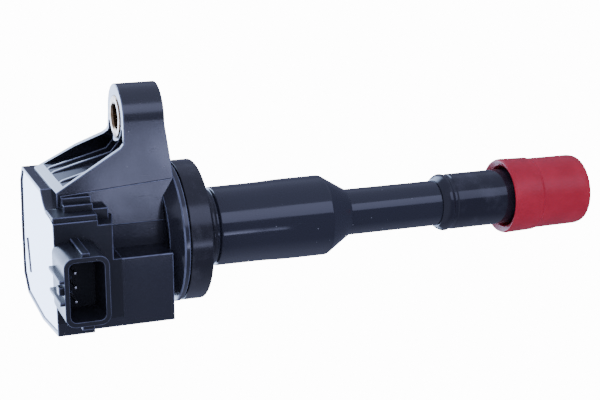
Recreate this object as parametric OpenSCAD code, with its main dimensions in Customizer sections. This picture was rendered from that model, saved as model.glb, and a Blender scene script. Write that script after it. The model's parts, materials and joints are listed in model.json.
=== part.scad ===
// Ignition coil of the coil-on-plug kind: a head with an igniter and a side connector, a long coil
// tube that hangs down a plug well, and a rubber boot that pushes onto the spark plug.
// Frame: +Z runs up the shaft from the boot to the head, +X points to the mounting ear and the
// connector faces -Y. The origin is on the shaft's axis, level with the ear's bolting face.

/* [Head] */
// Height of the potted top face over the bolting face
head_top = 33.5; // [31:0.5:36]
// Half width of the head on the connector side
head_front = 19; // [18:0.5:20]
// Half width of the head on the blind side
head_back = 31.6; // [28:0.2:32]
// Distance from the shaft's axis to the head's lower side
head_low = 20.6; // [19.6:0.2:22]
// Distance from the shaft's axis to the head's upper side, under the ear
head_high = 16; // [15:0.5:17]
// Thickness of the case's walls
wall = 1.8; // [1.4:0.1:2.2]

/* [Ear] */
// Distance from the shaft's axis to the bolt's axis
bolt_x = 34; // [32:0.5:37]
// Bore radius of the mounting bush
bush_bore_r = 3.6; // [3.3:0.1:3.8]
// Outer radius of the mounting bush
bush_r = 5.9; // [5.5:0.1:6.2]
// Height of the ear's round boss
boss_h = 11.5; // [10:0.5:14]
// Radius of the ear's round boss
boss_r = 9.1; // [8.8:0.1:9.6]

/* [Connector] */
// Distance of the connector's mouth from the shaft's axis
mouth_y = 34; // [31:0.5:38]
// Width of the connector's shroud along the shaft
shroud_w = 11.9; // [11.5:0.1:12.5]
// Height of the connector's shroud along X
shroud_h = 18.6; // [18:0.1:19.5]
// Distance between two neighbouring pins
pin_pitch = 3.9; // [3.5:0.1:4.2]

/* [Shaft] */
// Radius of the head's neck collar
neck_r = 20; // [19.5:0.1:20.5]
// Radius of the flange seal
seal_r = 19.9; // [19:0.1:19.9]
// Radius of the coil tube under the seal
tube_r = 11.35; // [11:0.05:11.5]
// Depth of the coil tube's lower shoulder under the bolting face
tube_end = 48.8; // [47:0.2:52]
// Radius of the high voltage tower
tower_r = 6.8; // [6.5:0.1:7]

/* [Boot] */
// Depth of the boot's upper end
boot_top = 85.5; // [83:0.5:88]
// Depth of the boot's lower end
boot_end = 131; // [129:0.5:131.5]
// Outer radius of the boot
boot_r = 8.4; // [8.2:0.05:8.4]
// Radius of the boot's socket for the plug's insulator
socket_r = 5.25; // [5:0.05:5.4]

/* [Protective cap] */
// Depth of the cap's open end
cap_mouth = 107.7; // [106:0.1:110]
// Depth of the cap's closed end
cap_end = 134.5; // [133:0.1:135]
// Radius of the cap's flange
cap_r = 11.4; // [11.1:0.1:11.5]

/* [Hidden] */
$fn = 96;

// Head: the case stands on the neck, and its cavity is filled with resin from the top.
case_base = 1.2;
case_floor = 4;
flange_z = 23.4;            // the wider flange round the head's top starts here
flange_out = 1;
mouth_z = 32.1;             // above this the walls thin to a rim, and the resin covers them
rim_wall = 1;
ledge_x = -0.6;             // top of the lower box, where the front steps back
panel_y = -9.5;             // front panel over the ledge
recess_x = 6.1;             // the panel is thinned below this height
recess_depth = 0.5;
resin_drop = 0.4;           // the resin stands this far under the case's rim
resin_gap = 0.05;
slot_depth = 1.3;           // shallow slot in the resin's face, with a sloping floor
slot_l = 10;
slot_w = 4.2;
slot_at = [-14.2, 19.6];
slot_turn = 14.5;

// Ear: two walls and two ribs round a pocket. A solid web joins the pocket to the head.
ear_front = -boss_r;
ear_flare_y = 22.5;         // the back wall reaches this far at the head
rim_x = 16.3;
rim_z = 30.4;
pocket_floor = 2.2;
web_x = 17.6;               // the web is this far from the shaft's axis at its rim
web_foot_x = 21.3;
bush_proud = 0.3;
bush_wall = 0.8;
mouth_chamfer = 0.5;
rib_t = 1.2;
rib_y = [-2.5, 8.5, 14];
rib_end_x = 22.5;
rib_end_z = 11.4;

// Connector: an insert that fills a stepped corner of the case, and a shroud round three pins.
insert_low = -17;
insert_in = 3;              // thickness of the insert behind the head's front face
insert_z0 = 15.5;
insert_z1 = 21.5;
insert_deep_x = 1.2;        // beyond this the insert reaches back to the front panel
insert_slope = 2.4;         // its lower side slants up by this much towards the front
shroud_x = -3.8;
shroud_z = 28.15;
shroud_round = 2.7;
shroud_wall = 1.3;
shroud_back = 21.5;         // the cavity's back wall is this far from the shaft's axis
pin_tip = 29.5;
pin_z = 30.3;
pin_w = 0.64;
tail_y = -15.7;             // the pins turn down just behind the insert's front plate
rail_t = 1;
rail_out = 1.25;
rail_x = [-0.7, -6.6];

// Neck, seal and tube
neck_low = -3.5;
seal_low = -10.3;
seal_groove = 0.35;
shoulder_r = 15.9;          // the neck slopes out from this radius
spigot_r = 12.7;
neck_bore = 10.65;
neck_top = 0.4;             // the neck's bore narrows above this
neck_hole = 7;
throat_r = 10.6;            // the tube is this thin where the neck and the ring hold it
ring_top = -11.9;
ring_low = -14.1;
tube_head = 0.3;            // upper end of the tube inside the neck
tube_top = -15.1;
tube_grow = 0.4;            // the tube is this much thicker below its parting step
cone_end = 56.3;
cone_end_r = 7.05;
tube_bore = 9.6;

// Coil pieces, from the outside in
coil_hi = -6;
coil_lo = -42;
flange_t = 1.2;
core_r = 4.8;
core_hi = -9;
core_lo = -39;
magnet_t = 3;
pad_t = 1;

// Tower, resistor, spring and contact
tower_end = 99;
tower_bore = 3.3;
resistor_r = 2.2;
resistor_hi = -60;
resistor_lo = -74;
spring_hi = -75.5;
spring_lo = -99.5;
spring_turns = 9;
spring_wire = 0.45;
spring_mean_r = 2.3;
contact_r = 3.2;
contact_lo = -104;
socket_top = -105.5;        // the socket narrows to the contact's bore above this
contact_bore = 4.6;

// Boot and cap
collar_r = 8.6;
boot_seat = 99.4;           // the tower goes this far down into the boot
cap_step = 117.3;
cap_body_r = 10.7;
cap_grip_r = 8.46;
cap_lip_r = 9.4;
cap_floor = 1.6;

// Corner points of a rectangle from two opposite corners.
function rect(a, b) = [[a[0], a[1]], [b[0], a[1]], [b[0], b[1]], [a[0], b[1]]];

// A flat outline given as [x, z] points, standing across Y from y0 to y1.
module across_y(points, y0, y1) {
    translate([0, y1, 0]) rotate([90, 0, 0]) linear_extrude(y1 - y0) polygon(points);
}

// A box between two opposite corners.
module block(a, b) {
    translate(a) cube(b - a);
}

// A solid of revolution from [radius, z] points.
module turned(points) {
    rotate_extrude() polygon(points);
}

// A tube round the shaft's axis between two heights.
module sleeve(outer, inner, z0, z1) {
    translate([0, 0, z0]) difference() {
        cylinder(r = outer, h = z1 - z0);
        translate([0, 0, -1]) cylinder(r = inner, h = z1 - z0 + 2);
    }
}

// Plan of the head at its top, pulled in by d: the blind side is wide, with two corners cut away.
module head_plan(d) {
    polygon([[-head_low + d, -head_front + d], [-head_low - 2.6 + d, 3],
             [-head_low - 1.8 + d, head_back - 6], [-head_low + 2.9 + d * 0.5, head_back - d],
             [-4.3, head_back - 0.2 - d],
             [head_high - 4.7 - d * 0.3, head_back - 1.8 - d], [head_high - d, head_back - 5.6 - d * 0.4],
             [head_high - d, -2.2 + d * 0.5], [13.4 - d, -5 + d * 0.3], [11.8 - d, -8],
             [11.8 - d, -head_front + d]]);
}

// Plan of the head under its flange.
module body_plan() {
    intersection() {
        head_plan(0);
        translate([flange_out, -flange_out]) head_plan(0);
    }
    translate([0, -head_front]) square([11.8, head_front]);
}

// Stepped block of the insert under the rim, with its inner ends grown a little to overlap.
module insert_block(grow) {
    y_back = -head_front + insert_in;
    across_y(rect([insert_low, insert_z0], [9.3, mouth_z]), -head_front, y_back);
    across_y(rect([insert_deep_x, insert_z1], [12.1, mouth_z]), -head_front + 0.7, panel_y);
    across_y(rect([insert_deep_x, insert_z1], [10.7, mouth_z]), -head_front, panel_y);
    across_y(rect([insert_deep_x, insert_z0], [9.3, insert_z1 + grow]), y_back - 0.1, panel_y);
    foot = rect([ledge_x - wall, insert_z0], [insert_deep_x + 0.1, insert_z0 + 3.2]);
    across_y(foot, y_back - 0.1, panel_y);
    across_y(rect([12, insert_z1], [13.8, head_top - 4]), -13.4, panel_y);
    across_y(rect([13.7, insert_z1], [15.3, head_top - 4]), -11.2, panel_y);
    across_y(rect([9.2, insert_z0 + 1.8], [12.2, insert_z1 + grow]), -13, panel_y);
}

// Wedge that makes the insert's lower side slant over the ledge.
module insert_slant() {
    low = insert_z0 - 0.1;
    translate([ledge_x, 0, 0]) rotate([90, 0, 90]) linear_extrude(20)
        polygon([[-head_front - 1, low], [panel_y + 0.01, low], [panel_y + 0.01, insert_z0],
                 [-head_front - 1, insert_z0 + insert_slope]]);
}

// Rim of the insert, level with the case's rim.
module insert_rim() {
    translate([0, 0, mouth_z]) linear_extrude(head_top - mouth_z) difference() {
        union() {
            translate([insert_low, -head_front]) square([10.7 - insert_low, head_front + panel_y]);
            translate([insert_deep_x, -head_front + 0.7])
                square([12.1 - insert_deep_x, head_front - 0.7 + panel_y]);
        }
        head_plan(rim_wall);
    }
}

// Side outline of the ear, as [x, z] points: the two walls' rims slope down to the boss.
module ear_side() {
    across_y([[head_high - 4, -1.9], [head_high - 4, rim_z], [rim_x, rim_z],
              [27, 12.4], [28.2, boss_h], [bolt_x + boss_r + 1, boss_h], [bolt_x + boss_r + 1, 0],
              [33, 0], [26, -1], [22.5, -1.45], [18.5, -1.9]], -30, 30);
}

// Plan of the ear, with its walls pulled in by d: the back wall flares towards the head.
module ear_plan(d) {
    if (d == 0) translate([bolt_x, 0]) circle(r = boss_r);
    polygon([[head_high - 4, ear_front + d], [bolt_x, ear_front + d], [bolt_x, boss_r - d],
             [29.7 - d * 0.3, 10.2 - d], [27.3 - d * 0.7, 14 - d * 0.7], [23.2 - d * 0.4, 19 - d],
             [rim_x, ear_flare_y - d], [head_high - 4, ear_flare_y + 1 - d]]);
}

module ear() {
    intersection() {
        translate([0, 0, -5]) linear_extrude(60) ear_plan(0);
        ear_side();
    }
}

// Pocket inside the ear, round the bush's own wall.
module ear_pocket() {
    difference() {
        intersection() {
            translate([0, 0, pocket_floor]) linear_extrude(60) ear_plan(wall);
            across_y([[web_foot_x, pocket_floor], [31.5, pocket_floor], [31.5, 60], [web_x, 60],
                      [web_x, rim_z - 2.4], [web_foot_x - 0.4, boss_h]], -30, 30);
        }
        translate([bolt_x, 0, 0]) cylinder(r = bush_r + bush_wall, h = 60);
        for (y = rib_y) ear_rib(y);
    }
}

module ear_rib(y) {
    across_y([[head_high - 1, 0], [head_high - 1, rim_z], [head_high + 1.4, rim_z - 0.4],
              [rib_end_x, rib_end_z], [32, pocket_floor + 1], [32, 0]], y - rib_t / 2, y + rib_t / 2);
}

// Front panel over the ledge, a little proud of the ear's front wall.
module front_panel() {
    top = head_top - 4;
    across_y([[ledge_x - 0.1, 0.8], [6.8, 0.7], [12.7, 1.4], [head_high - 0.2, -0.6], [17.7, -1.7],
              [head_high - 0.5, top - 0.1], [13.4, top], [ledge_x - 0.1, top]], panel_y, -5);
}

// Black case of the head with its ear, sloping neck and the spigot that carries the seal.
module head_case() {
    color("#23232e") difference() {
        union() {
            intersection() {
                union() {
                    translate([0, 0, case_base]) linear_extrude(head_top - case_base) body_plan();
                    translate([0, 0, flange_z]) linear_extrude(head_top - flange_z) head_plan(0);
                }
                union() {
                    block([-40, -40, 0], [ledge_x, 40, 50]);
                    block([-40, panel_y, 0], [40, 40, 50]);
                }
            }
            front_panel();
            ear();
            turned([[0, seal_low], [spigot_r, seal_low], [spigot_r, neck_low], [neck_r, neck_low],
                    [neck_r, -1.95], [neck_r - 0.5, -1.5], [18.5, -0.7], [shoulder_r, case_base + 0.1],
                    [0, case_base + 0.1]]);
        }
        ear_pocket();
        case_cavity(0);
        case_mouth(0);
        insert_block(0.1);
        insert_rim();
        translate([0, 0, seal_low - 1]) cylinder(r = neck_bore, h = neck_top - seal_low + 1);
        translate([0, 0, neck_top - 0.1]) cylinder(r = neck_hole, h = case_floor);
        translate([bolt_x, 0, -2]) cylinder(r = bush_r, h = 40);
        panel_recess();
    }
}

// Shallow recess along the foot of the front panel, deeper towards the ledge.
module panel_recess() {
    translate([0, 0, case_base - 2]) linear_extrude(insert_z0 - case_base + 2)
        polygon([[recess_x, panel_y - 1], [recess_x, panel_y + 0.1],
                 [recess_x - 0.1, panel_y + recess_depth - 0.2], [ledge_x, panel_y + recess_depth],
                 [ledge_x, panel_y - 1]]);
}

// Inside of the case over its floor: it widens over the insert's foot.
module case_cavity(gap) {
    translate([0, 0, case_floor + gap]) linear_extrude(mouth_z - case_floor - gap) intersection() {
        head_plan(wall + flange_out + gap);
        union() {
            translate([-40, -head_front]) square([40 + ledge_x - wall - gap, 60]);
            translate([-40, panel_y + wall + recess_depth + gap]) square([80, 60]);
        }
    }
    translate([0, 0, insert_z0 + gap]) linear_extrude(mouth_z - insert_z0 - gap) intersection() {
        head_plan(wall + flange_out + gap);
        translate([-40, -head_front]) square([40 + insert_deep_x - gap, 60]);
    }
}

// Mouth of the case over its thick walls.
module case_mouth(gap) {
    translate([0, 0, mouth_z]) linear_extrude(head_top - mouth_z + 1) head_plan(rim_wall + gap);
}

// Cast resin that fills the case round the parts and covers the insert, a little under the rim.
module potting_resin() {
    color("#e8eef8") difference() {
        union() {
            case_cavity(resin_gap);
            intersection() {
                case_mouth(resin_gap);
                block([-40, -40, mouth_z], [40, 40, head_top - resin_drop]);
            }
        }
        insert_block(0.1);
        insert_slant();
        resin_slot();
        for (i = [0 : 2]) pin_body(i, 0.02);
        plate_body(0.02);
        module_body(0.02);
        lead_body(0.02);
    }
}

// Shallow slot in the resin's face: its floor rises from the connector's side to nothing.
module resin_slot() {
    translate([slot_at[0], slot_at[1], head_top - resin_drop]) rotate([90, 0, 90 + slot_turn])
        linear_extrude(slot_l) polygon([[0, -slot_depth], [slot_w, 0], [slot_w, 1], [0, 1]]);
}

// Steel bush that takes the bolt's clamp load.
module mounting_bush() {
    top = boss_h + bush_proud;
    inner = bush_bore_r + mouth_chamfer;
    color("#c9a768") translate([bolt_x, 0, 0]) turned([[inner, 0], [bush_r - 0.3, 0],
        [bush_r - 0.01, 0.3], [bush_r - 0.01, top - 0.3], [bush_r - 0.3, top], [inner, top],
        [bush_bore_r, top - mouth_chamfer], [bush_bore_r, mouth_chamfer]]);
}

// Rounded rectangle of the shroud, pulled in by d, as a flat outline in X and Z.
module shroud_plan(d) {
    r = shroud_round - d * 0.8;
    w = shroud_h / 2 - d - r;
    h = shroud_w / 2 - d - r;
    square([2 * (w + r), 2 * h], center = true);
    square([2 * w, 2 * (h + r)], center = true);
    for (sx = [-1, 1], sy = [-1, 1]) translate([sx * w, sy * h]) circle(r = r, $fn = 48);
}

// Stands a flat [x, z] outline up between two distances in front of the shaft.
module towards_front(y_near, y_far) {
    translate([shroud_x, -y_near, shroud_z]) rotate([90, 0, 0]) linear_extrude(y_far - y_near) children();
}

// Insert with the shroud, two guide rails, a latch block between them and a rib on each side.
module connector_housing() {
    front = -head_front;
    wall_z = shroud_z + shroud_w / 2;
    low_x = shroud_x - shroud_h / 2;
    high_x = shroud_x + shroud_h / 2;
    color("#20202a") difference() {
        union() {
            insert_block(0.1);
            insert_rim();
            towards_front(head_front - 0.5, mouth_y) shroud_plan(0);
            block([high_x - 0.5, front - 14.4, shroud_z - 1.1], [high_x + 0.9, front, shroud_z + 1.1]);
            block([low_x - 1.2, front - 14.4, shroud_z - 1.6], [low_x + 0.5, front, shroud_z + 1.6]);
            for (x = rail_x) block([x - rail_t / 2, -mouth_y + 0.3, wall_z - 0.5],
                                   [x + rail_t / 2, front - 0.5, wall_z + rail_out]);
            block([-4.6, -mouth_y + 1.5, wall_z - 0.5], [-2.4, -mouth_y + 4.5, wall_z + 1.2]);
        }
        towards_front(shroud_back, mouth_y + 1) shroud_plan(shroud_wall);
        insert_slant();
        for (i = [0 : 2]) pin_body(i, 0);
    }
}

// One connector pin: a square blade that runs back through the insert and turns down to its lead.
module pin_body(i, grow) {
    x = shroud_x + (1 - i) * pin_pitch;
    w = pin_w / 2 + grow;
    block([x - w, -pin_tip, pin_z - w], [x + w, tail_y + pin_w + grow, pin_z + w]);
    block([x - w, tail_y - grow, 22], [x + w, tail_y + pin_w + grow, pin_z + w]);
}

module terminal_pin_1() { color("#d8d4c8") pin_body(0, 0); }
module terminal_pin_2() { color("#d8d4c8") pin_body(1, 0); }
module terminal_pin_3() { color("#d8d4c8") pin_body(2, 0); }

// Power switch in its moulded package, with the plate that carries its heat away.
module module_body(grow) {
    g = [grow, grow, 0];
    block([-14, -11, 16.2] - g, [-2.8, 2, 19.6] + g);
}

module plate_body(grow) {
    block([-16 - grow, -12.5 - grow, 14.6 - grow], [-2.8 + grow, 6 + grow, 16.2]);
}

module igniter_module() { color("#2b2b2b") module_body(0); }
module igniter_heat_plate() { color("#b9bdc2") plate_body(0); }

// Strips of sheet brass that join the pins, the module and the windings.
module lead_body(grow) {
    for (i = [0 : 2]) {
        x = shroud_x + (1 - i) * pin_pitch;
        block([x - 0.6 - grow, tail_y - 0.2 - grow, 21.2 - grow], [x + 0.6 + grow, -8.5 + grow, 22]);
        if (i > 0) block([x - 0.6 - grow, -9.2 - grow, 19.6], [x + 0.6 + grow, -8.5 + grow, 22]);
    }
    block([shroud_x - pin_pitch, -12 - grow, 21.2 - grow], [shroud_x + pin_pitch, -10.9 + grow, 22]);
}

module lead_frame() { color("#c9a24a") lead_body(0); }

// Rubber disc seal under the neck collar, with a thin groove at its top and a soft lower edge.
module flange_seal() {
    color("#16161b") turned([[spigot_r + 0.05, neck_low - 0.05], [seal_r - 0.9, neck_low - 0.05],
        [seal_r - 0.9, neck_low - seal_groove], [seal_r - 0.1, neck_low - seal_groove - 0.05],
        [seal_r, neck_low - seal_groove - 0.2], [seal_r, seal_low + 0.5], [seal_r - 0.5, seal_low],
        [spigot_r + 0.05, seal_low]]);
}

// Rubber ring in the tube's throat, which seals against the plug well's top.
module tube_seal_ring() {
    mid = (ring_top + ring_low) / 2;
    color("#1b1b22") turned([[throat_r + 0.03, ring_top], [tube_r - 0.2, ring_top],
        [tube_r + 0.3, mid + 0.3], [tube_r + 0.3, mid - 0.3], [tube_r - 0.2, ring_low],
        [throat_r + 0.03, ring_low]]);
}

// Moulded tube round the coil: it swells a little, then a straight cone meets the tower.
module coil_tube() {
    r2 = tube_r + tube_grow;
    color("#1c1c26") turned([[tube_bore, tube_head], [throat_r, tube_head], [throat_r, tube_top + 0.5],
        [tube_r - 0.35, tube_top + 0.2], [tube_r - 0.1, tube_top - 0.1], [tube_r, tube_top - 0.5],
        [tube_r + 0.05, -30], [r2 - 0.05, -36], [r2, 0.8 - tube_end], [r2 - 0.15, 0.2 - tube_end],
        [r2 - 0.6, -tube_end - 0.3], [(r2 - 0.3 + cone_end_r) / 2, -(tube_end + cone_end) / 2],
        [cone_end_r + 0.3, 0.7 - cone_end], [cone_end_r, -cone_end], [tower_r + 0.03, -cone_end],
        [tower_r + 0.03, -52], [tube_bore, -48]]);
}

// Thin steel sleeve that closes the magnetic circuit, slit along one side.
module outer_core_sleeve() {
    color("#8f9399") difference() {
        sleeve(tube_bore - 0.1, tube_bore - 0.6, coil_lo, coil_hi);
        block([0, -0.4, coil_lo - 1], [20, 0.4, coil_hi + 1]);
    }
}

// A bobbin: a thin tube with a flange at each end.
module bobbin(outer, inner, flange_r) {
    sleeve(outer, inner, coil_lo, coil_hi);
    sleeve(flange_r, inner, coil_lo, coil_lo + flange_t);
    sleeve(flange_r, inner, coil_hi - flange_t, coil_hi);
}

module primary_winding() {
    color("#b5652e") sleeve(8.85, 7.85, coil_lo + flange_t + 0.05, coil_hi - flange_t - 0.05);
}

module primary_bobbin() {
    color("#d9d2bd") bobbin(7.8, 7.2, 8.9);
}

module secondary_winding() {
    color("#a4582a") sleeve(7.0, 5.65, coil_lo + flange_t + 0.05, coil_hi - flange_t - 0.05);
}

module secondary_bobbin() {
    color("#cfc8b4") bobbin(5.6, 5.0, 7.1);
}

// Core of stacked steel strip, with a magnet and a soft pad at each end.
module iron_core() {
    color("#7f848a") translate([0, 0, core_lo]) cylinder(r = core_r, h = core_hi - core_lo);
}

module upper_magnet() {
    color("#6b6f75") translate([0, 0, core_hi + 0.05]) cylinder(r = core_r, h = magnet_t);
}

module lower_magnet() {
    color("#6b6f75") translate([0, 0, core_lo - 0.05 - magnet_t]) cylinder(r = core_r, h = magnet_t);
}

module core_damping_pads() {
    color("#303030") union() {
        translate([0, 0, core_hi + magnet_t + 0.1]) cylinder(r = core_r, h = pad_t);
        translate([0, 0, core_lo - magnet_t - 0.1 - pad_t]) cylinder(r = core_r, h = pad_t);
    }
}

// Pressed brass cup that takes the high voltage from the secondary to the resistor.
module high_voltage_terminal() {
    color("#c9a24a") turned([[0, -46], [6, -46], [6, -47.2], [2.4, -47.2], [2.4, -51.5],
        [1.6, -51.5], [1.6, resistor_hi + 0.05], [0, resistor_hi + 0.05]]);
}

// Plastic tower that carries the boot, with the resistor and the spring in its bore.
module high_voltage_tower() {
    color("#1b1b24") turned([[tower_bore, 1 - 54], [tower_r, 1 - 54], [tower_r, -tower_end + 0.8],
        [tower_r - 0.8, -tower_end], [tower_bore, -tower_end]]);
}

module suppressor_resistor() {
    color("#8a5a3a") union() {
        translate([0, 0, resistor_lo]) cylinder(r = resistor_r, h = resistor_hi - resistor_lo);
        translate([0, 0, resistor_lo]) cylinder(r = resistor_r + 0.3, h = 2);
        translate([0, 0, resistor_hi - 2]) cylinder(r = resistor_r + 0.3, h = 2);
    }
}

// Steel spring that presses the contact onto the spark plug's terminal.
module contact_spring() {
    turn = -360 * spring_turns;
    color("#b8bcc2") translate([0, 0, spring_lo])
        linear_extrude(spring_hi - spring_lo, twist = turn, slices = 20 * spring_turns, $fn = 8)
            translate([spring_mean_r, 0]) scale([1, 1.6]) circle(r = spring_wire, $fn = 8);
}

// Contact cup on the spring's lower end.
module plug_contact() {
    color("#c8ccd2") turned([[0, spring_lo - 0.3], [contact_r, spring_lo - 0.3],
        [contact_r, contact_lo + 0.6], [contact_r - 0.6, contact_lo], [2.4, contact_lo],
        [2.0, contact_lo + 1], [0, contact_lo + 1]]);
}

// Rubber boot: it grips the tower at its top and the spark plug's insulator at its foot.
module plug_boot() {
    top = -boot_top;
    color("#15151c") turned([[tower_r + 0.03, top], [tower_r + 0.4, top], [collar_r - 0.4, top - 1.3],
        [collar_r, top - 2], [collar_r, top - 2.8], [boot_r - 0.3, top - 3.6], [boot_r - 0.3, top - 4.5],
        [boot_r, top - 4.8], [boot_r, 0.8 - boot_end], [boot_r - 0.8, -boot_end],
        [socket_r + 0.6, -boot_end], [socket_r, 1 - boot_end], [socket_r, socket_top],
        [contact_bore, socket_top + 0.5], [contact_bore, -boot_seat - 0.2], [tower_r + 0.03, -boot_seat]]);
}

// Soft red cap that keeps dirt out of the boot until the coil is fitted: its mouth slopes inwards.
module protective_cap() {
    mouth = -cap_mouth;
    color("#b12b40") turned([[0, -cap_end], [cap_body_r - 1.8, -cap_end], [cap_body_r - 0.7, 0.4 - cap_end],
        [cap_body_r - 0.15, 1.1 - cap_end], [cap_body_r, 2.2 - cap_end], [cap_body_r + 0.1, -cap_step - 0.5],
        [cap_r - 0.3, -cap_step], [cap_r, mouth - 1], [cap_r - 0.3, mouth - 0.2], [cap_r - 0.7, mouth],
        [cap_lip_r, mouth - 0.9], [cap_lip_r - 0.2, mouth - 1.4], [cap_lip_r - 0.2, mouth - 6],
        [cap_grip_r, mouth - 7.5], [cap_grip_r, cap_floor - cap_end], [0, cap_floor - cap_end]]);
}

head_case();
potting_resin();
mounting_bush();
connector_housing();
terminal_pin_1();
terminal_pin_2();
terminal_pin_3();
igniter_module();
igniter_heat_plate();
lead_frame();
flange_seal();
tube_seal_ring();
coil_tube();
outer_core_sleeve();
primary_winding();
primary_bobbin();
secondary_winding();
secondary_bobbin();
iron_core();
upper_magnet();
lower_magnet();
core_damping_pads();
high_voltage_terminal();
high_voltage_tower();
suppressor_resistor();
contact_spring();
plug_contact();
plug_boot();
protective_cap();
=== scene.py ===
import json
import math

import bmesh
import bpy
import numpy as np
from mathutils import Matrix, Vector


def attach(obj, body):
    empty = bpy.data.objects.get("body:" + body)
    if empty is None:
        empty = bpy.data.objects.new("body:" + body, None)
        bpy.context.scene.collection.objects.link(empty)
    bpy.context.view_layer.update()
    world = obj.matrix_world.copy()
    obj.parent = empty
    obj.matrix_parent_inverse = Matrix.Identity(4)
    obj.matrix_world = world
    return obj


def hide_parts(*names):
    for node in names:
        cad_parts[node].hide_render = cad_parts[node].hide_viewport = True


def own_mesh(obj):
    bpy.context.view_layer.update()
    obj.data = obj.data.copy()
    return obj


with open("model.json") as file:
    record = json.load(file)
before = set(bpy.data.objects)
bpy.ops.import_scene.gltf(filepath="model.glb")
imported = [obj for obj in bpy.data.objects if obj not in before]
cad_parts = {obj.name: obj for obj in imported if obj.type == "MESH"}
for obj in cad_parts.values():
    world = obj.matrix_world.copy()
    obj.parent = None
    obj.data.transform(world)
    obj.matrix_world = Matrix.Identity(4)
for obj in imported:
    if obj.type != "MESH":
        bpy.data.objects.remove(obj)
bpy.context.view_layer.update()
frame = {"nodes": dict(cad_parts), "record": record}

MM = 0.001
NODES = frame["nodes"]
SLOT = {s["node"]: s["material_slot"] for s in frame["record"]["subparts"]}
BOLT_AT = (34.0, 0.0)                   # x and y of the bolt's axis, in mm


# ---------------------------------------------------------------- camera
LOOK_FROM_AXIS = math.radians(70.23)    # angle between the view and the shaft
LOOK_DOWN = math.radians(16.18)         # how far the view tips over the head's upper side
ROLL = math.radians(-5.73)              # the shaft rises a little towards the boot
LENS_OVER_WIDTH = 2.415                 # a long lens, close up
CAMERA_PLACE = Vector((115.84, -381.63, 100.38)) * MM
NEAR_LIMIT, FAR_LIMIT = 0.01, 20        # metres


def make_camera():
    """The shaft lies across the picture: right is -Z, up is +X, and the view goes mostly along +Y."""
    ahead = Vector((-math.sin(LOOK_FROM_AXIS) * math.sin(LOOK_DOWN),
                    math.sin(LOOK_FROM_AXIS) * math.cos(LOOK_DOWN),
                    -math.cos(LOOK_FROM_AXIS)))
    right = Vector((0, 0, -1)) - Vector((0, 0, -1)).dot(ahead) * ahead
    right.normalize()
    down = ahead.cross(right)
    turned_right = math.cos(ROLL) * right - math.sin(ROLL) * down
    turned_down = math.sin(ROLL) * right + math.cos(ROLL) * down
    data = bpy.data.cameras.new("camera")
    data.lens = data.sensor_width * LENS_OVER_WIDTH
    data.clip_start = NEAR_LIMIT
    data.clip_end = FAR_LIMIT
    camera = bpy.data.objects.new("camera", data)
    bpy.context.collection.objects.link(camera)
    turn = Matrix((turned_right, -turned_down, -ahead)).transposed()
    camera.matrix_world = Matrix.Translation(CAMERA_PLACE) @ turn.to_4x4()
    bpy.context.scene.camera = camera


make_camera()


# ---------------------------------------------------------------- light
PAPER = 14.0                            # brightness of the white surroundings, as the camera sees them
LIT_WALL = (5.8, 7.3, 10.8, 1)          # mirrored from behind the coil
DIM_FRONT = (0.21, 0.23, 0.37, 1)       # mirrored from straight in front of it
DIM_SIDES = (0.55, 0.60, 0.90, 1)       # mirrored from its sides and from over it
SOFT_FILL = (1.5, 1.6, 2.1, 1)          # lights matt surfaces from all round


class Tree:
    """A node tree with short calls to add a node, set its plain inputs and link the others."""

    def __init__(self, tree):
        self.tree = tree
        self.tree.nodes.clear()

    def add(self, kind, values=None, **fields):
        """A new node. An input is linked where its value is another node's output, and set otherwise."""
        node = self.tree.nodes.new(kind)
        for key, value in fields.items():
            setattr(node, key, value)
        for key, value in (values or {}).items():
            if isinstance(value, bpy.types.NodeSocket):
                self.tree.links.new(value, node.inputs[key])
            else:
                node.inputs[key].default_value = value
        return node

    def math(self, operation, a, b=0.0, clamp=False):
        """One operation on a and b, each a number or another node's output."""
        return self.add("ShaderNodeMath", {0: a, 1: b}, operation=operation, use_clamp=clamp).outputs[0]

    def ramp(self, value, low, high, to_low=0.0, to_high=1.0):
        """Goes from to_low to to_high as value goes from low to high. The share s of the way there
        counts as 3 s^2 - 2 s^3, so both ends are soft."""
        values = {"Value": value, "From Min": low, "From Max": high, "To Min": to_low, "To Max": to_high}
        return self.add("ShaderNodeMapRange", values, interpolation_type="SMOOTHSTEP").outputs["Result"]

    def mix(self, share, a, b):
        """Colour a where share is 0, colour b where it is 1."""
        return self.add("ShaderNodeMix", {0: share, 6: a, 7: b}, data_type="RGBA").outputs[2]


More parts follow.
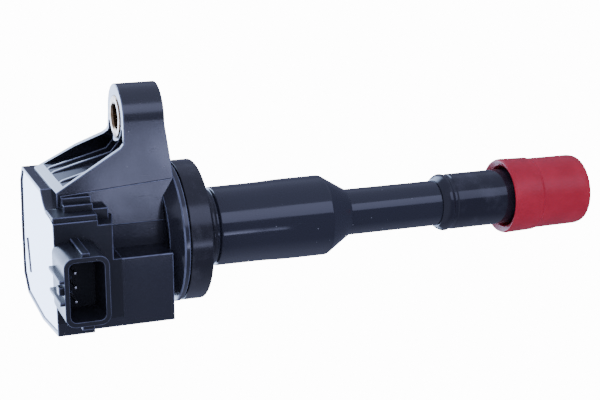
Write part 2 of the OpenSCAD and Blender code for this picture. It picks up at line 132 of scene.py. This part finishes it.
def make_world():
    """White paper all round for the eye, and a darker room in the mirror. Where a mirrored ray goes
    the way (x, y, z), it meets LIT_WALL if y is over about 0.6 and z between about 0 and 0.55. It meets
    DIM_SIDES elsewhere if x is more than about 0.7 from -0.2 or z is over about 0.4, and DIM_FRONT in
    what is left. Every border is a soft ramp."""
    world = bpy.data.worlds.new("studio")
    world.use_nodes = True
    t = Tree(world.node_tree)
    way = t.add("ShaderNodeSeparateXYZ", {0: t.add("ShaderNodeTexCoord").outputs["Generated"]})
    behind = t.ramp(way.outputs[1], 0.45, 0.75)
    over = t.math("MULTIPLY", t.ramp(way.outputs[2], -0.16, 0.24), t.ramp(way.outputs[2], 0.66, 0.46))
    bright = t.math("MULTIPLY", behind, over)
    up_front = t.ramp(way.outputs[2], 0.15, 0.6)
    aside = t.ramp(t.math("ABSOLUTE", t.math("ADD", way.outputs[0], 0.2)), 0.5, 0.9)
    dim = t.mix(t.math("MAXIMUM", aside, up_front), DIM_FRONT, DIM_SIDES)
    colour = t.mix(bright, dim, LIT_WALL)
    light_path = t.add("ShaderNodeLightPath")
    colour = t.mix(light_path.outputs["Is Diffuse Ray"], colour, SOFT_FILL)
    seen = t.mix(light_path.outputs["Is Camera Ray"], colour, (PAPER, PAPER, PAPER, 1))
    back = t.add("ShaderNodeBackground", {"Color": seen, "Strength": 1.0})
    t.add("ShaderNodeOutputWorld", {"Surface": back.outputs[0]})
    bpy.context.scene.world = world


make_world()


def make_floor():
    """A wide flat paper floor under the hanging coil. It lets the mirror images of the studio through,
    and a camera under it looks through it."""
    half, level = 6.0, -0.25            # metres
    corners = [(-half, -half, level), (half, -half, level), (half, half, level), (-half, half, level)]
    mesh = bpy.data.meshes.new("paper_floor")
    mesh.from_pydata(corners, [], [(0, 1, 2, 3)])
    floor = bpy.data.objects.new("paper_floor", mesh)
    bpy.context.collection.objects.link(floor)
    material = bpy.data.materials.new("paper")
    material.use_nodes = True
    t = Tree(material.node_tree)
    glow = t.add("ShaderNodeEmission", {"Color": (1, 1, 1, 1), "Strength": PAPER})
    clear = t.add("ShaderNodeBsdfTransparent")
    from_over = t.math("SUBTRACT", 1.0, t.add("ShaderNodeNewGeometry").outputs["Backfacing"])
    seen = t.math("MULTIPLY", t.add("ShaderNodeLightPath").outputs["Is Camera Ray"], from_over)
    mixed = t.add("ShaderNodeMixShader", {0: seen, 1: clear.outputs[0], 2: glow.outputs[0]})
    t.add("ShaderNodeOutputMaterial", {"Surface": mixed.outputs[0]})
    mesh.materials.append(material)


make_floor()


def soft_light(name, at, to, width, height, strength, colour, mirrored=True, spread=180):
    """A rectangular lamp at a point in mm, turned to face another. Strength is its brightness, so its
    power is pi times strength times area. Spread is the full angle it shines into, in degrees."""
    data = bpy.data.lights.new(name, "AREA")
    data.shape = "RECTANGLE"
    data.size, data.size_y = width * MM, height * MM
    data.energy = strength * math.pi * data.size * data.size_y
    data.color = colour
    data.spread = math.radians(spread)
    lamp = bpy.data.objects.new(name, data)
    bpy.context.collection.objects.link(lamp)
    at, to = Vector(at) * MM, Vector(to) * MM
    lamp.location = at
    lamp.rotation_euler = (to - at).to_track_quat("-Z", "X").to_euler()
    lamp.visible_camera = False
    lamp.visible_glossy = mirrored


LAVENDER = (0.58, 0.63, 1.0)
WHITE = (1.0, 1.0, 1.0)
soft_light("strip_light", (340, -460, -260), (0, 0, -60), 620, 330, 2.3, LAVENDER)
soft_light("front_light", (-19, -160, -42), (24, -15, 11), 60, 34, 0.17, LAVENDER, spread=26)
soft_light("fill_light", (260, -700, 260), (0, 0, -30), 700, 700, 1.9, WHITE, mirrored=False)


# ---------------------------------------------------------------- materials
EDGE_WEAR_AND_SHEEN = (0.055, 0.061, 0.098, 1)         # moulded plastic worn pale at its edges, plus a painted highlight for the light the rounded edges catch
DUST = (0.2, 0.2, 0.24, 1)


def new_material(name):
    """An empty material and the tree to build it in."""
    material = bpy.data.materials.new(name)
    material.use_nodes = True
    return material, Tree(material.node_tree)


def place(t, scale=(1, 1, 1)):
    """Position in the object's own space, in metres, stretched by scale."""
    spot = t.add("ShaderNodeTexCoord").outputs["Object"]
    return t.add("ShaderNodeMapping", {"Vector": spot, "Scale": scale}).outputs[0]


def noise(t, where, scale, detail, rough=0.5):
    """A cloudy pattern from 0 to 1, with about scale lumps to a metre and finer ones by detail."""
    return t.add("ShaderNodeTexNoise", {"Vector": where, "Scale": scale, "Detail": detail,
                                        "Roughness": rough}).outputs["Fac"]


def finish_material(t, bumps, **inputs):
    """Joins the shader and its inputs. Bumps are (height, distance in mm, strength), each laid over
    the one before."""
    laid = {}
    for height, distance, strength in bumps:
        values = {"Height": height, "Distance": distance * MM, "Strength": strength, **laid}
        laid = {"Normal": t.add("ShaderNodeBump", values).outputs[0]}
    named = {key.replace("_", " "): value for key, value in inputs.items()}
    shader = t.add("ShaderNodeBsdfPrincipled", {**laid, **named})
    t.add("ShaderNodeOutputMaterial", {"Surface": shader.outputs[0]})


def moulded(name, colour, rough, grain, patchy, specular=0.5):
    """Injection moulded plastic: a fine spark-eroded grain, faint flow patches in the gloss, a few
    thin scuffs and specks of dust, and pale rounded edges that are partly wear and partly a painted
    highlight."""
    material, t = new_material(name)
    here = place(t)
    patches = noise(t, here, 70, 3)
    fine = noise(t, here, 5200, 2)
    drawn = noise(t, place(t, (1, 1, 0.06)), 2400, 2)
    scuff_zone = t.ramp(noise(t, here, 55, 2), 0.52, 0.68)
    scuff = t.math("MULTIPLY", t.ramp(drawn, 0.66, 0.78), scuff_zone)
    speck = t.ramp(noise(t, here, 1150, 1, 0.3), 0.80, 0.84)
    gloss = t.ramp(patches, 0.3, 0.7, rough - patchy, rough + patchy)
    gloss = t.math("ADD", gloss, t.math("MULTIPLY", scuff, 0.25))
    gloss = t.math("ADD", gloss, t.math("MULTIPLY", speck, 0.3), clamp=True)
    pale = tuple(min(1, 2.2 * c + 0.03) for c in colour)
    tint = t.mix(t.math("MULTIPLY", scuff, 0.5), (*colour, 1), (*pale, 1))
    tint = t.mix(t.math("MULTIPLY", speck, 0.5), tint, DUST)
    # Rounded edges get a pale bluish tint: partly wear, partly a painted highlight for the light they
    # catch.
    edge = t.add("ShaderNodeAttribute", attribute_name="rounded_edge").outputs["Fac"]
    rubbed_and_sheen = t.math("MULTIPLY", edge, t.ramp(noise(t, here, 260, 3), 0.25, 0.6, 0.45, 1.0))
    tint = t.mix(rubbed_and_sheen, tint, EDGE_WEAR_AND_SHEEN)
    finish_material(t, [(patches, 0.06, 0.25), (fine, grain, 0.5), (scuff, 0.01, 0.3)],
                    Base_Color=tint, Roughness=gloss, Specular_IOR_Level=specular)
    return material


def rubber(name, colour, rough):
    """Moulded rubber: a soft bloom in patches, fine pores and a slightly uneven skin."""
    material, t = new_material(name)
    here = place(t)
    bloom = noise(t, here, 160, 4, 0.6)
    pores = t.add("ShaderNodeTexVoronoi", {"Vector": here, "Scale": 3300.0}).outputs["Distance"]
    skin = noise(t, here, 420, 2)
    pale = tuple(min(1, 2.6 * c + 0.012) for c in colour)
    tint = t.mix(t.ramp(bloom, 0.45, 0.8, 0.0, 0.6), (*colour, 1), (*pale, 1))
    gloss = t.ramp(bloom, 0.3, 0.75, rough - 0.03, rough + 0.04)
    finish_material(t, [(skin, 0.012, 0.2), (pores, 0.004, 0.3)], Base_Color=tint, Roughness=gloss,
                    Specular_IOR_Level=0.4)
    return material


def metal(name, colour, rough, brushed):
    """Bare metal: fine lines along the way it was worked, and patches of tarnish."""
    material, t = new_material(name)
    lines = noise(t, place(t, brushed), 3000, 2)
    patches = noise(t, place(t), 240, 3)
    dull = tuple(0.55 * c for c in colour)
    tint = t.mix(t.ramp(patches, 0.45, 0.75, 0.0, 0.7), (*colour, 1), (*dull, 1))
    gloss = t.ramp(lines, 0.3, 0.7, rough, rough + 0.12)
    finish_material(t, [(lines, 0.006, 0.5)], Base_Color=tint, Roughness=gloss, Metallic=1.0)
    return material


def turned_bush(name):
    """Yellow passivated steel: rings of the turning tool round the bolt's axis, and a play of gold
    and straw in the passivation."""
    axis = (BOLT_AT[0] * MM, BOLT_AT[1] * MM, 0)
    ring_pitch, turn_pitch = 0.11 * MM, 0.16 * MM
    material, t = new_material(name)
    spot = t.add("ShaderNodeTexCoord").outputs["Object"]
    middle = t.add("ShaderNodeVectorMath", {0: spot, 1: axis}, operation="SUBTRACT").outputs[0]
    part = t.add("ShaderNodeSeparateXYZ", {0: middle})
    flat = t.add("ShaderNodeCombineXYZ", {0: part.outputs[0], 1: part.outputs[1]}).outputs[0]
    reach = t.add("ShaderNodeVectorMath", {0: flat}, operation="LENGTH").outputs["Value"]
    rings = t.math("SINE", t.math("MULTIPLY", reach, 2 * math.pi / ring_pitch))
    turns = t.math("SINE", t.math("MULTIPLY", part.outputs[2], 2 * math.pi / turn_pitch))
    lines = t.math("ADD", rings, turns)
    play = noise(t, spot, 520, 3)
    tint = t.mix(t.ramp(play, 0.35, 0.7), (0.34, 0.25, 0.15, 1), (0.24, 0.15, 0.07, 1))
    finish_material(t, [(lines, 0.002, 0.25)], Base_Color=tint, Metallic=1.0,
                    Roughness=t.ramp(play, 0.3, 0.7, 0.2, 0.34))
    return material


def cast_resin(name):
    """Cast epoxy: mirror smooth, with the slow waves and the few tiny pits of a poured face."""
    material, t = new_material(name)
    here = place(t)
    waves = noise(t, here, 45, 1, 0.4)
    ripple = noise(t, here, 260, 2)
    pit = t.ramp(noise(t, here, 1300, 1, 0.2), 0.80, 0.86)
    cloud = t.ramp(noise(t, here, 120, 3), 0.4, 0.75)
    tint = t.mix(cloud, (0.028, 0.030, 0.045, 1), (0.05, 0.054, 0.075, 1))
    finish_material(t, [(waves, 0.5, 0.12), (ripple, 0.03, 0.12), (pit, -0.05, 0.5)], Base_Color=tint,
                    Roughness=t.ramp(cloud, 0.0, 1.0, 0.05, 0.11), Specular_IOR_Level=0.6,
                    Coat_Weight=1.0, Coat_Roughness=0.03, Coat_IOR=1.6)
    return material


def soft_cap(name):
    """Soft red plastic: light sinks in a little, the colour is cloudy, and the skin is satin with
    fine lines where it was pulled off its core."""
    material, t = new_material(name)
    here = place(t)
    cloud = noise(t, here, 110, 4, 0.6)
    drawn = noise(t, place(t, (1, 1, 0.05)), 1500, 2)
    grain = noise(t, here, 3600, 2)
    tint = t.mix(t.ramp(cloud, 0.35, 0.7), (0.21, 0.0030, 0.012, 1), (0.25, 0.0045, 0.016, 1))
    gloss = t.ramp(cloud, 0.3, 0.7, 0.38, 0.44)
    finish_material(t, [(drawn, 0.012, 0.25), (grain, 0.006, 0.4)], Base_Color=tint, Roughness=gloss,
                    Subsurface_Weight=0.25, Subsurface_Radius=(1.0, 0.25, 0.25),
                    Subsurface_Scale=1.2 * MM, Specular_IOR_Level=0.3)
    return material


def wound_wire(name, colour, pitch):
    """Enamelled wire in close turns round the shaft: a round ridge for each turn."""
    material, t = new_material(name)
    spot = t.add("ShaderNodeTexCoord").outputs["Object"]
    part = t.add("ShaderNodeSeparateXYZ", {0: spot})
    ridge = t.math("SINE", t.math("MULTIPLY", part.outputs[2], 2 * math.pi / (pitch * MM)))
    shade = t.mix(noise(t, spot, 900, 2), (*colour, 1), (*(0.6 * c for c in colour), 1))
    finish_material(t, [(ridge, 0.5 * pitch, 0.6)], Base_Color=shade, Roughness=0.28, Metallic=0.8)
    return material


# Moulded: colour, roughness, depth of the grain in mm, how patchy the gloss is, and specular level.
# Metal: colour, roughness, and how the working lines are stretched. Rubber: colour and roughness.
# Wound wire: colour, and the pitch of its turns in mm.
FINISHES = [
    (moulded, "case_plastic", (0.009, 0.0095, 0.014), 0.17, 0.008, 0.05, 0.62),
    (moulded, "connector_plastic", (0.009, 0.0095, 0.013), 0.33, 0.010, 0.05, 0.16),
    (moulded, "tube_plastic", (0.009, 0.0095, 0.015), 0.12, 0.002, 0.03),
    (cast_resin, "resin"),
    (turned_bush, "bush_steel"),
    (metal, "pin_metal", (0.86, 0.85, 0.80), 0.16, (1, 0.1, 1)),
    (metal, "aluminium_plate", (0.72, 0.73, 0.75), 0.28, (1, 0.05, 1)),
    (moulded, "package_plastic", (0.02, 0.02, 0.024), 0.5, 0.02, 0.05),
    (metal, "sheet_brass", (0.74, 0.56, 0.25), 0.22, (1, 0.05, 1)),
    (rubber, "seal_rubber", (0.007, 0.007, 0.010), 0.20),
    (rubber, "boot_rubber", (0.007, 0.007, 0.011), 0.13),
    (metal, "core_steel", (0.40, 0.41, 0.43), 0.32, (1, 1, 0.05)),
    (wound_wire, "copper_wire", (0.62, 0.22, 0.07), 0.5),
    (moulded, "bobbin_plastic", (0.62, 0.57, 0.44), 0.4, 0.01, 0.05),
    (moulded, "magnet", (0.11, 0.11, 0.12), 0.5, 0.03, 0.08),
    (moulded, "resistor_body", (0.30, 0.13, 0.06), 0.35, 0.02, 0.05),
    (metal, "spring_steel", (0.62, 0.63, 0.66), 0.18, (1, 1, 1)),
    (metal, "contact_metal", (0.74, 0.74, 0.75), 0.15, (1, 1, 0.2)),
    (soft_cap, "cap_plastic"),
]
MATERIAL = {name: finish(name, *values) for finish, name, *values in FINISHES}

# Each CAD node gets its slot's finish. Most outer ones are replaced by a finer piece further on.
for name, obj in NODES.items():
    obj.data.materials.clear()
    obj.data.materials.append(MATERIAL[SLOT[name]])


# ---------------------------------------------------------------- pieces
SIDES = 144                             # flats round a turned piece
EASE_STEPS = 5                          # straight steps in an eased corner
CORNER_SHARE = 0.45                     # most of a side that one corner's rounding may take
TURNED_BLEND, MOULDED_BLEND = 30, 38    # degrees between faces that still shade as one
def show(name, mesh, body, node):
    """Links a finished mesh as a piece that stands for a CAD node and rides on its body."""
    mesh.materials.append(MATERIAL[SLOT[node]])
    piece = bpy.data.objects.new(name, mesh)
    bpy.context.collection.objects.link(piece)
    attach(piece, body)
    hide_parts(node)
    return piece


def eased(corners):
    """Closed outline of (radius, z) in mm from corners (radius, z, ease). Each corner is rounded by a
    short curve that starts and ends its ease away: the point at share t of the curve lies at
    (1-t)^2 of its start, 2t(1-t) of the corner and t^2 of its end. Long sides get a point near each
    end, so that they shade flat between them."""
    n = len(corners)
    out = []
    for i in range(n):
        before, corner, after = (np.array(corners[(i + k) % n][:2], float) for k in (-1, 0, 1))
        to_before, to_after = before - corner, after - corner
        gap_b, gap_a = np.hypot(*to_before), np.hypot(*to_after)
        ease = min(corners[i][2], CORNER_SHARE * gap_b, CORNER_SHARE * gap_a)
        if ease <= 0:
            out.append(corner)
            continue
        start, end = corner + to_before / gap_b * ease, corner + to_after / gap_a * ease
        if gap_b > 4 * ease:
            out.append(start + to_before / gap_b * ease * 0.5)
        for t in np.linspace(0, 1, EASE_STEPS + 1):
            out.append((1 - t) ** 2 * start + 2 * t * (1 - t) * corner + t ** 2 * end)
        if gap_a > 4 * ease:
            out.append(end + to_after / gap_a * ease * 0.5)
    return np.array(out)


def smooth_mesh(name, points, faces):
    """A mesh shaded smooth, from points in mm and faces that list their points' numbers."""
    mesh = bpy.data.meshes.new(name)
    mesh.from_pydata((points * MM).tolist(), [], faces)
    mesh.polygons.foreach_set("use_smooth", [True] * len(faces))
    mesh.update()
    return mesh


def quads_between(rings):
    """Faces between neighbouring rows of point numbers, where each row runs round a closed ring."""
    low, high = rings[:-1], rings[1:]
    return np.stack([low, np.roll(low, -1, 1), np.roll(high, -1, 1), high], -1).reshape(-1, 4)


def turned_mesh(name, corners, about):
    """A solid of revolution: every outline point (r, z) becomes a ring of points
    (r cos a, r sin a, z) for evenly spaced angles a. A ring on the axis shrinks to one pole."""
    line = eased(corners)
    area = np.sum(line[:, 0] * np.roll(line[:, 1], -1) - np.roll(line[:, 0], -1) * line[:, 1])
    if area < 0:
        line = line[::-1]
    r, z = line[:, :1], line[:, 1:]
    a = np.arange(SIDES) * 2 * math.pi / SIDES
    points = np.stack([about[0] + r * np.cos(a), about[1] + r * np.sin(a), z + 0 * a], -1).reshape(-1, 3)
    rings = np.arange(len(points)).reshape(-1, SIDES)
    pole = r[:, 0] < 1e-6
    rings[pole] = rings[pole, :1]
    kept, rings = np.unique(rings, return_inverse=True)
    rings = rings.reshape(-1, SIDES)
    quads = quads_between(np.vstack([rings, rings[:1]]))
    on_axis = (quads[:, 0] == quads[:, 1]) & (quads[:, 2] == quads[:, 3])
    faces = [tuple(dict.fromkeys(face)) for face in quads[~on_axis].tolist()]
    return smooth_mesh(name, points[kept], faces)


def weigh_normals(mesh, limit):
    """Gives every face corner its own normal: the sum of area times normal over the faces round the
    point that lie within limit degrees of this face. Wide flat faces stay flat to the light. Points
    where the same number of faces meet are worked out together."""
    count = len(mesh.polygons)
    normals, areas, sizes = np.empty(count * 3), np.empty(count), np.empty(count, dtype=np.int32)
    point_of = np.empty(len(mesh.loops), dtype=np.int32)
    mesh.polygons.foreach_get("normal", normals)
    mesh.polygons.foreach_get("area", areas)
    mesh.polygons.foreach_get("loop_total", sizes)
    mesh.loops.foreach_get("vertex_index", point_of)
    face_of = np.repeat(np.arange(count), sizes)
    normals = normals.reshape(-1, 3)
    weighed = normals * areas[:, None]
    order = np.argsort(point_of, kind="stable")
    first = np.flatnonzero(np.diff(point_of[order], prepend=-1))
    meeting = np.diff(first, append=len(order))
    least = math.cos(math.radians(limit))
    out = np.empty((len(order), 3))
    for number in np.unique(meeting):
        corners = order[first[meeting == number][:, None] + np.arange(number)]
        here = face_of[corners]
        near = normals[here] @ normals[here].transpose(0, 2, 1) > least
        out[corners] = near @ weighed[here]
    out /= np.maximum(np.linalg.norm(out, axis=1, keepdims=True), 1e-12)
    mesh.normals_split_custom_set(out)


HEAD_FRONT = -19.0                      # y of the head's front face, in mm
INSERT_LOW, INSERT_SIDE = 15.5, -17.0   # z and x of the insert's edges in that face
ROUND_STEPS = 3                         # flats across a rounded edge
SHARP = math.radians(30)                # an edge that turns by more is rounded
SAME_POINT = 2e-6                       # metres between points that are merged
SAME_PLANE = math.radians(1.0)          # faces that turn by less are joined


def parting_line(edge):
    """True where the insert and the case meet flush on the head's front face."""
    a, b = edge.verts[0].co / MM, edge.verts[1].co / MM
    flush = abs(a.y - HEAD_FRONT) < 0.02 and abs(b.y - HEAD_FRONT) < 0.02
    low = abs(a.z - INSERT_LOW) < 0.15 and abs(b.z - INSERT_LOW) < 0.15 and max(a.x, b.x) < 0
    side = abs(a.x - INSERT_SIDE) < 0.15 and abs(b.x - INSERT_SIDE) < 0.15
    return flush and (low or side)


def softened_copy(name, node, body, width):
    """The CAD node's own shape with its double points merged, flat faces joined and every outer edge
    over SHARP rounded over by width in mm, or by less where a short edge meets it. The rounded faces
    have 1 in the attribute rounded_edge."""
    build = bmesh.new()
    build.from_mesh(NODES[node].data)
    bmesh.ops.remove_doubles(build, verts=build.verts, dist=SAME_POINT)
    bmesh.ops.dissolve_limit(build, angle_limit=SAME_PLANE, verts=build.verts, edges=build.edges)
    bmesh.ops.recalc_face_normals(build, faces=build.faces)
    weight = build.edges.layers.float.new("bevel_weight_edge")
    for edge in build.edges:
        if parting_line(edge):
            continue
        if len(edge.link_faces) == 2 and edge.calc_face_angle_signed(0.0) > SHARP:
            shortest = min(e.calc_length() for v in edge.verts for e in v.link_edges)
            edge[weight] = min(1.0, CORNER_SHARE * shortest / (width * MM))
    rough = bpy.data.meshes.new(name + "_rough")
    build.to_mesh(rough)
    build.free()
    holder = bpy.data.objects.new(name + "_rough", rough)
    bpy.context.collection.objects.link(holder)
    bevel = holder.modifiers.new("soft_edges", "BEVEL")
    bevel.width = width * MM
    bevel.segments = ROUND_STEPS
    bevel.limit_method = "WEIGHT"
    bevel.use_clamp_overlap = False
    # The rounding goes to the second material slot, which tells its faces from the others.
    rough.materials.append(MATERIAL[SLOT[node]])
    rough.materials.append(MATERIAL[SLOT[node]])
    bevel.material = 1
    seen = holder.evaluated_get(bpy.context.evaluated_depsgraph_get())
    mesh = bpy.data.meshes.new_from_object(seen)
    mesh.name = name
    rounded = np.zeros(len(mesh.polygons), dtype=np.int32)
    mesh.polygons.foreach_get("material_index", rounded)
    marks = mesh.attributes.new("rounded_edge", "FLOAT", "FACE")
    marks.data.foreach_set("value", rounded.astype(np.float32))
    mesh.polygons.foreach_set("material_index", np.zeros(len(rounded), dtype=np.int32))
    mesh.materials.clear()
    bpy.data.objects.remove(holder)
    bpy.data.meshes.remove(rough)
    mesh.polygons.foreach_set("use_smooth", [True] * len(mesh.polygons))
    weigh_normals(mesh, MOULDED_BLEND)
    show(name, mesh, body, node)


# Head: case, connector and resin keep the CAD shape and get soft moulded edges.
softened_copy("case_shell", "head_case", "coil", 0.3)
softened_copy("connector_shell", "connector_housing", "coil", 0.26)
softened_copy("resin_fill", "potting_resin", "coil", 0.15)
for i in (1, 2, 3):
    softened_copy("pin_blade_%d" % i, "terminal_pin_%d" % i, "coil", 0.12)


def turned_piece(name, node, corners, body="coil", about=(0.0, 0.0)):
    """A piece turned about an axis along z, from its outline's corners (radius, z, ease) in mm."""
    mesh = turned_mesh(name, corners, about)
    weigh_normals(mesh, TURNED_BLEND)
    show(name, mesh, body, node)


turned_piece("seal_disc", "flange_seal", [
    (12.75, -3.55, 0.1), (19.0, -3.55, 0.12), (19.0, -3.88, 0.1), (19.85, -3.9, 0.25), (19.9, -9.9, 0.6),
    (19.4, -10.3, 0.35), (12.75, -10.3, 0.1)])
turned_piece("throat_ring", "tube_seal_ring", [
    (10.63, -11.9, 0.1), (11.15, -11.9, 0.2), (11.65, -12.7, 0.35), (11.65, -13.3, 0.35),
    (11.15, -14.1, 0.2), (10.63, -14.1, 0.1)])
turned_piece("coil_barrel", "coil_tube", [
    (9.6, 0.3, 0.1), (10.6, 0.3, 0.15), (10.6, -14.7, 0.25), (11.3, -15.15, 0.45), (11.4, -30.0, 3.0),
    (11.7, -36.0, 3.0), (11.75, -48.7, 0.5), (7.35, -55.7, 0.25), (7.05, -56.3, 0.1),
    (6.83, -56.3, 0.05), (6.83, -52.0, 0.2), (9.6, -48.0, 0.2)])
turned_piece("tower_body", "high_voltage_tower", [
    (3.3, -53.0, 0.2), (6.8, -53.0, 0.3), (6.8, -98.2, 0.4), (6.0, -99.0, 0.3), (3.3, -99.0, 0.2)])
turned_piece("boot_sleeve", "plug_boot", [
    (6.83, -85.5, 0.05), (7.2, -85.5, 0.3), (8.15, -86.6, 0.6), (8.6, -87.6, 0.5), (8.6, -88.4, 0.4),
    (8.1, -89.1, 0.35), (8.1, -89.9, 0.35), (8.4, -90.3, 0.25), (8.4, -130.3, 0.5), (7.6, -131.0, 0.4),
    (5.85, -131.0, 0.25), (5.25, -130.0, 0.4), (5.25, -105.5, 0.25), (4.6, -105.0, 0.2),
    (4.6, -99.6, 0.1), (6.83, -99.4, 0.1)])
turned_piece("cap_cup", "protective_cap", [
    (0.0, -134.5, 0), (9.0, -134.5, 0.8), (10.25, -134.1, 0.8), (10.7, -132.6, 0.8), (10.8, -117.9, 0.2),
    (11.15, -117.3, 0.3), (11.4, -108.6, 0.4), (11.05, -107.75, 0.3), (10.7, -107.7, 0.2),
    (9.4, -108.6, 0.25), (9.2, -109.2, 0.2), (9.2, -113.7, 0.3), (8.46, -115.2, 0.3), (8.46, -132.9, 0.5),
    (0.0, -132.9, 0)], body="cap")
turned_piece("bush_sleeve", "mounting_bush", [
    (4.1, 0.0, 0.12), (5.6, 0.0, 0.12), (5.89, 0.3, 0.12), (5.89, 11.5, 0.12), (5.6, 11.8, 0.12),
    (4.1, 11.8, 0.12), (3.6, 11.3, 0.12), (3.6, 0.5, 0.12)], about=BOLT_AT)
turned_piece("contact_cup", "plug_contact", [
    (0.0, -99.8, 0), (3.2, -99.8, 0.25), (3.2, -103.4, 0.25), (2.6, -104.0, 0.25), (2.3, -104.0, 0.15),
    (2.0, -103.0, 0.3), (0.0, -103.0, 0)], body="contact")


def coiled_wire():
    """Round wire wound into a spring. The wire's middle at share t of its length stands at angle
    2 pi turns t and radius mean_r. Its height rises with t, slowly over the first and the last turn,
    where the coils lie close. A ring of points stands square to the wire at each step, and a fan
    closes each end."""
    turns, per_turn, sides = 9, 48, 14
    mean_r, wire_r = 2.3, 0.45
    low, high = -99.5, -75.5
    share = np.linspace(0, 1, turns * per_turn + 1)
    angle = 2 * math.pi * turns * share
    speed = 0.35 + 0.65 * np.clip(np.minimum(share, 1 - share) * turns, 0, 1)
    rise = np.concatenate([[0], np.cumsum((speed[1:] + speed[:-1]) / 2)])
    z = low + wire_r + (high - low - 2 * wire_r) * rise / rise[-1]
    middle = np.stack([mean_r * np.cos(angle), mean_r * np.sin(angle), z], 1)
    along = np.gradient(middle, axis=0)
    along /= np.linalg.norm(along, axis=1, keepdims=True)
    out = np.stack([np.cos(angle), np.sin(angle), 0 * angle], 1)
    side = np.cross(along, out)
    turn = np.arange(sides)[None, :, None] * 2 * math.pi / sides
    skin = middle[:, None] + wire_r * (np.cos(turn) * out[:, None] + np.sin(turn) * side[:, None])
    points = np.vstack([skin.reshape(-1, 3), middle[0], middle[-1]])
    rings = np.arange(len(share) * sides).reshape(-1, sides)
    first, last = np.full(sides, rings.size), np.full(sides, rings.size + 1)
    first_fan = np.stack([first, np.roll(rings[0], -1), rings[0]], 1)
    last_fan = np.stack([last, rings[-1], np.roll(rings[-1], -1)], 1)
    faces = quads_between(rings).tolist() + first_fan.tolist() + last_fan.tolist()
    return smooth_mesh("spring_wire", points, faces)


spring = show("spring_coil", coiled_wire(), "coil", "contact_spring")
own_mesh(spring)
